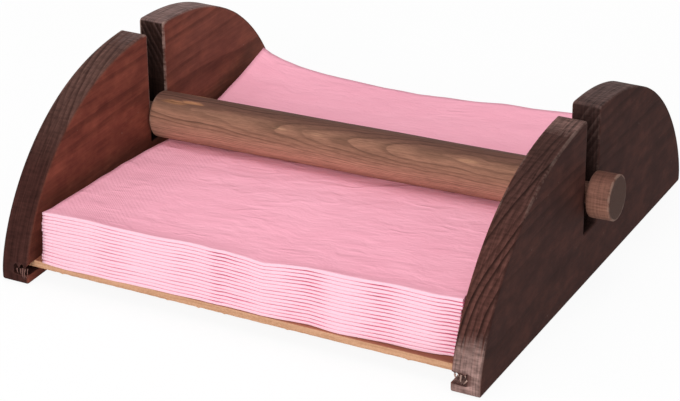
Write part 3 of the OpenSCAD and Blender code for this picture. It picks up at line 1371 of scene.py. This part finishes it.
        near = np.array([0.0, 0.5, 1.2, 2.2, 3.5, 5.0, 7.0, 9.5, 12.5, 16.5, 22, 30, 40, 52, 64])
        back = self.side - self.back_room
        far = back - np.array([72.0, 60, 48, 36, 26, 18, 12, 7, 3.5, 1.2, 0.0])
        even = np.linspace(12.5, back, 78)
        steps = np.concatenate([near[:8], even] if top else [near, far])
        depth, sine, cosine = (part[:, None] for part in turn_over(steps[::-1], self.bend_points))
        sine = -sine
        flat_v = self.side + sine * depth

        x0 = shift_x - self.side / 2 + across + 0 * depth
        splay = self.splay * tall * np.exp(-((depth / 2.5) ** 2))
        x0 = x0 + splay * np.clip(x0 / 80, 0, 1)
        wander = self.wander * ripple(x0, 200 + number, 5, 12.0, 50.0)
        front = self._front(x0, tall) + shift_y + wander
        floor = self.sizes.panel_top
        pitch = (self._surface(x0, front + 0.5 + depth) - floor) / self.count
        loose = read_off(self.looseness, x0) * (1 + self.pairing * (1 if number % 2 else -1))
        loose = loose * np.clip(1.0 + 0.5 * ripple(x0, 300 + number, 5, 8.0, 45.0), 0.2, 1.5)
        gape = loose * np.exp(-((depth / self.gape_depth) ** 2))
        power = self.squareness * (0.5 + 0.6 * np.minimum(loose, 1.0))
        squarer, rounder = np.sign(sine) * np.abs(sine) ** power, cosine**power
        thin = (pitch - self.paper - self.clearance) / 3 * (1 - self.gape_share * gape)
        out = 1 + 0.5 * layer
        y = front + 1.5 * thin + depth - rounder * thin * out
        y = y - (short + 0.2 * (1 - layer * sine)) * (depth / self.side) ** 8
        z = floor + pitch * (number - 0.5) + 0.01 + squarer * thin * out
        x = x0 + 0.5 * thin * bulge

        # Painted light on the crest of the front fold, where the fold colour pales the paper.
        crest = np.exp(-(((depth + 1.5 * (1 - cosine)) / 1.3) ** 2))
        # Painted shade above and below each front fold, stronger where the napkins gape.
        gap_shade = np.clip((np.abs(sine) - 0.6) / 0.4, 0, 1) * np.exp(-((depth / 4.0) ** 2))
        if top:
            gap_shade = gap_shade * (sine < 0)
        gap_shade = gap_shade * (0.04 + 0.96 * np.minimum(loose, 1.0))
        values = {"fold": crest + 0 * x, "gap_shade": gap_shade}
        flat = (flat_u / (2 * self.side), flat_v / (2 * self.side))
        return Shape((x, y, z), grid_faces(*x.shape), values, flat)

    def build(self, number: int, material: Material) -> Object:
        """Makes one folded napkin of real paper thickness.

        Args:
            number: The napkin's place in the stack, from 1 at the bottom.
            material: The paper's finish.

        Returns:
            The napkin.
        """
        piece = make_piece(f"folded_napkin_{number:02d}", self._sheet(number), material)
        piece.data.shade_smooth()
        wall = piece.modifiers.new("paper", "SOLIDIFY")
        wall.thickness, wall.offset = self.paper * METRES, 0.0
        return piece


@dataclass(frozen=True)
class Studio:
    """Camera, floor, white surroundings and soft lamps.

    Places and sizes are in metres and angles in radians, but the camera's lens and sensor
    are in millimetres. A lamp has a name, a place, a size and its power in watts.
    """

    target: Point = (0.06473, -0.13356, 0.08438)
    distance: float = 0.76811
    azimuth: float = 0.4857
    elevation: float = 0.4556
    roll: float = -0.0107
    lens: float = 128.94
    sensor: float = 36.0
    clip: tuple[float, float] = (0.05, 50.0)
    ambient: float = 0.52
    floor_grey: float = 0.9
    floor_glow: float = 0.9
    floor_reach: float = 6.0
    floor_drop: float = 0.0002
    lamp_target: Point = (0.0, 0.0, 0.02)
    lamps: tuple[tuple[str, Point, float, float], ...] = (
        ("front_lamp", (0.25, -1.65, 0.75), 0.9, 23.0),
        ("top_lamp", (0.1, 0.1, 1.7), 1.2, 9.0),
    )

    @staticmethod
    def stand(data: bpy.types.ID, axes: Sequence[Array], where: Sequence[float]) -> Object:
        """Puts a camera or a lamp into the scene under its own name.

        Args:
            data: The camera or the lamp.
            axes: Directions of its right, its top and its back.
            where: Its place.

        Returns:
            The new object.
        """
        made = bpy.data.objects.new(data.name, data)
        matrix = np.eye(4)
        matrix[:3] = np.stack([*axes, where], -1)
        made.matrix_world = Matrix(matrix.tolist())
        bpy.context.collection.objects.link(made)
        return made

    def camera(self) -> None:
        """Places the camera at the photograph's viewing angle."""
        level = math.cos(self.elevation)
        across = np.array([math.cos(self.azimuth), math.sin(self.azimuth), 0.0])
        back = np.array([across[1] * level, -across[0] * level, math.sin(self.elevation)])
        up = np.cross(back, across)
        cos, sin = math.cos(self.roll), math.sin(self.roll)
        data = bpy.data.cameras.new("camera")
        data.lens, data.sensor_width = self.lens, self.sensor
        data.clip_start, data.clip_end = self.clip
        axes = (across * cos + up * sin, up * cos - across * sin, back)
        where = np.array(self.target) + back * self.distance
        bpy.context.scene.camera = self.stand(data, axes, where)

    def lamp(self, name: str, where: Point, size: float, power: float) -> None:
        """Adds a square soft lamp that faces the holder.

        Args:
            name: The lamp's name.
            where: Its place.
            size: Side of the lamp.
            power: Power in watts.
        """
        data = bpy.data.lights.new(name, "AREA")
        data.shape, data.size, data.energy = "SQUARE", size, power
        back = np.array(where) - self.lamp_target
        back = back / np.linalg.norm(back)
        side = np.cross([0.0, 0.0, 1.0], back)
        side = side / np.linalg.norm(side)
        self.stand(data, (side, np.cross(back, side), back), where)

    def floor(self) -> None:
        """Lays a pale floor that looks white and keeps the holder's soft shadow."""
        recipe = Recipe("pale_floor")
        matt = recipe.node("ShaderNodeBsdfDiffuse", {"Color": (self.floor_grey,) * 3})
        glow = recipe.node("ShaderNodeEmission", {"Color": (1.0, 1.0, 1.0), "Strength": 1.0})
        share = recipe.seen() * self.floor_glow
        mixed = recipe.node("ShaderNodeMixShader", {0: share, 1: matt, 2: glow})
        recipe.node("ShaderNodeOutputMaterial", {"Surface": mixed})
        x, y = np.array([(-1, 1, 1, -1), (-1, -1, 1, 1)]) * self.floor_reach / METRES
        shape = Shape((x, y, -self.floor_drop / METRES), [(0, 1, 2, 3)], {})
        make_piece("floor", shape, recipe.material)

    def surroundings(self) -> None:
        """Sets a soft even world light that looks white to the camera and in gloss."""
        world = bpy.data.worlds.new("studio")
        bpy.context.scene.world = world
        recipe = Recipe("studio", world)
        strength = recipe.seen() * (1.0 - self.ambient) + self.ambient
        inputs = {"Color": (1.0, 1.0, 1.0), "Strength": strength}
        light = recipe.node("ShaderNodeBackground", inputs)
        recipe.node("ShaderNodeOutputWorld", {"Surface": light})

    def build(self) -> None:
        """Sets up the whole studio."""
        bpy.context.scene.view_settings.view_transform = "Standard"
        self.camera()
        self.floor()
        self.surroundings()
        for lamp in self.lamps:
            self.lamp(*lamp)


LEFT_WOOD = BoardFinish(
    name="left_board_wood",
    pith=(-184.0, 12.0),
    ring=2.1,
    seed=3.0,
    # Inner colours: the stain with painted pink bounce light from the napkins.
    inner=(0.164, 0.048, 0.033),
    inner_back_bounce=(0.190, 0.066, 0.047),
    rim_low=(0.037, 0.0135, 0.0110),
    rim_top=(0.098, 0.049, 0.040),
    stripe=(0.024, 0.010, 0.008),
    slot=(0.018, 0.008, 0.006),
    slot_light=(0.060, 0.034, 0.029),
    worn=(0.27, 0.18, 0.15),
    torn=(0.050, 0.018, 0.012),
    striped=(30.0, 62.0),
    stripe_depth=0.6,
    rubbed=(-195.0, 5.0),
    slot_rub=1.0,
    patches=(Patch(28.0, 64.0, 46.0, 9.0, (0.195, 0.125, 0.115), 0.85),),
)
RIGHT_WOOD = BoardFinish(
    name="right_board_wood",
    pith=(186.0, 4.0),
    ring=2.2,
    seed=7.0,
    # Inner colours: the stain with painted pink bounce light from the napkins.
    inner=(0.175, 0.047, 0.031),
    inner_back_bounce=(0.180, 0.060, 0.044),
    rim_low=(0.076, 0.030, 0.024),
    rim_top=(0.052, 0.024, 0.020),
    stripe=(0.011, 0.005, 0.004),
    slot=(0.028, 0.014, 0.012),
    slot_light=(0.085, 0.051, 0.044),
    worn=(0.25, 0.17, 0.145),
    torn=(0.060, 0.018, 0.011),
    striped=(4.0, 18.0),
    stripe_depth=0.78,
    rubbed=(-37.0, 23.0),
    slot_rub=0.25,
    patches=(
        Patch(-71.0, 28.0, 9.0, 8.5, (0.175, 0.070, 0.052), 0.75),
        Patch(-93.0, 6.0, 9.0, 15.0, (0.215, 0.135, 0.120), 0.85),
        Patch(28.0, 64.0, 40.0, 7.0, (0.115, 0.074, 0.068), 0.6),
        Patch(-12.0, 66.0, 9.0, 4.0, (0.145, 0.082, 0.071), 0.8),
    ),
)
DOWEL_WOOD = DowelFinish(
    name="dowel_wood",
    pith=(12.9, -15.3),
    ring=0.6,
    seed=11.0,
    bow=1.1,
    lean=-0.03,
    # Lower colour: painted bounce light from below; top colour: painted shade.
    lower=(0.380, 0.192, 0.135),
    early=(0.236, 0.117, 0.077),
    shaded_top=(0.115, 0.052, 0.038),
    end=(0.16, 0.090, 0.070),
    worn=(0.33, 0.21, 0.165),
    patches=(
        Patch(-75.0, 8.1, 6.0, 0.55, (0.40, 0.18, 0.09), 0.8),
        Patch(-67.0, 8.6, 5.0, 0.35, (0.44, 0.20, 0.10), 0.8),
        Patch(-27.0, 6.2, 3.6, 0.6, (0.37, 0.20, 0.125), 0.7),
        Patch(-11.0, 6.4, 3.4, 0.6, (0.36, 0.19, 0.12), 0.6),
        Patch(52.0, 6.8, 5.0, 0.55, (0.38, 0.20, 0.12), 0.7),
    ),
)
KNOB_WOOD = DowelFinish(
    name="knob_wood",
    pith=(12.9, -15.3),
    ring=0.9,
    seed=31.0,
    bow=0.4,
    # Lower colour: painted bounce light from below; top colour: painted shade.
    lower=(0.206, 0.096, 0.068),
    early=(0.188, 0.085, 0.061),
    shaded_top=(0.11, 0.047, 0.034),
    end=(0.065, 0.030, 0.021),
    worn=(0.25, 0.155, 0.120),
    line_depth=0.2,
    turned=1.0,
    radius=HolderSizes.knob_radius,
)
PIN_WOOD = DowelFinish(
    name="pin_wood",
    pith=(5.0, 9.0),
    ring=1.2,
    seed=19.0,
    bow=0.4,
    lean=0.02,
    # Lower colour: painted bounce light from below; top colour: painted shade.
    lower=(0.15, 0.070, 0.050),
    early=(0.13, 0.060, 0.043),
    shaded_top=(0.10, 0.046, 0.034),
    end=(0.25, 0.14, 0.10),
    worn=(0.35, 0.22, 0.16),
    radius=4.0,
)
DULL_SPLINTERS = TornFinish("dull_splinters", pale=(0.16, 0.080, 0.068), dark=(0.07, 0.030, 0.024))
SPLINTER_WOOD = TornFinish("splinter_wood", pale=(0.36, 0.24, 0.20), dark=(0.17, 0.10, 0.08))
PANEL_WOOD = Ply(
    name="panel_wood",
    face=(0.36, 0.12, 0.065),
    face_dark=(0.20, 0.062, 0.034),
    edge=(0.53, 0.30, 0.178),
    edge_dark=(0.38, 0.19, 0.10),
)
PINK_PAPER = Tissue(
    name="pink_paper",
    colour=(0.91, 0.425, 0.525),
    deep=(0.82, 0.33, 0.43),
    # Front fold crests: painted pale light.
    fold=(0.80, 0.49, 0.57),
    # Gaps between napkins: painted red shade.
    gap_shade=(0.82, 0.21, 0.33),
    # By the bar: painted light against the bar's shadow.
    bar_fill_light=(0.99, 0.45, 0.54),
)


def report(piece: Object) -> None:
    """Logs a finished piece's name and its number of points."""
    LOG.info("%s: %d points", piece.name, len(piece.data.vertices))


def place(piece: Object, body: str, slot: str, *nodes: str) -> None:
    """Hands a finished piece to the frame and reports it.

    Args:
        piece: The new object.
        body: The body that it moves with.
        slot: Not used.
        nodes: The nodes of the frame that it stands for.
    """
    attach(piece, body)
    if nodes:
        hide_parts(*nodes)
    report(piece)


def main() -> None:
    """Builds the studio and every piece."""
    logging.basicConfig(level=logging.INFO, format="%(message)s")
    sizes = HolderSizes()
    Studio().build()

    boards = SideBoards(sizes)
    for name, side, wood in (("left", -1, LEFT_WOOD), ("right", 1, RIGHT_WOOD)):
        board = boards.build(f"{name}_board", side, wood.material())
        place(board, "holder", "stained_board", f"{name}_side")
    for name, side, wood in (("left", -1, DULL_SPLINTERS), ("right", 1, SPLINTER_WOOD)):
        fibres = boards.build_fibres(f"{name}_mouth_fibres", side, wood.material())
        place(fibres, "holder", "stained_board")
    panel = BasePanel(sizes).build(PANEL_WOOD.material())
    place(panel, "holder", "panel_board", "base_panel")

    bar = PressBar(sizes)
    place(bar.build_bar(DOWEL_WOOD.material()), "bar_roller", "stained_dowel", "press_bar")
    finish = KNOB_WOOD.material()
    for name, side in (("left", -1), ("right", 1)):
        knob = bar.build_knob(f"{name}_end_knob", side, finish)
        place(knob, "bar_roller", "stained_dowel", f"{name}_knob")
    pins = PIN_WOOD.material()
    for name in ("left_pin", "right_pin"):
        node = bar.dress_pin(name, pins)
        report(node)

    stack = NapkinStack(sizes)
    paper = PINK_PAPER.material()
    for number in range(1, stack.count + 1):
        napkin = stack.build(number, paper)
        place(napkin, "holder", "napkin_paper", f"napkin_{number:02d}")


if __name__ == "__main__":
    main()
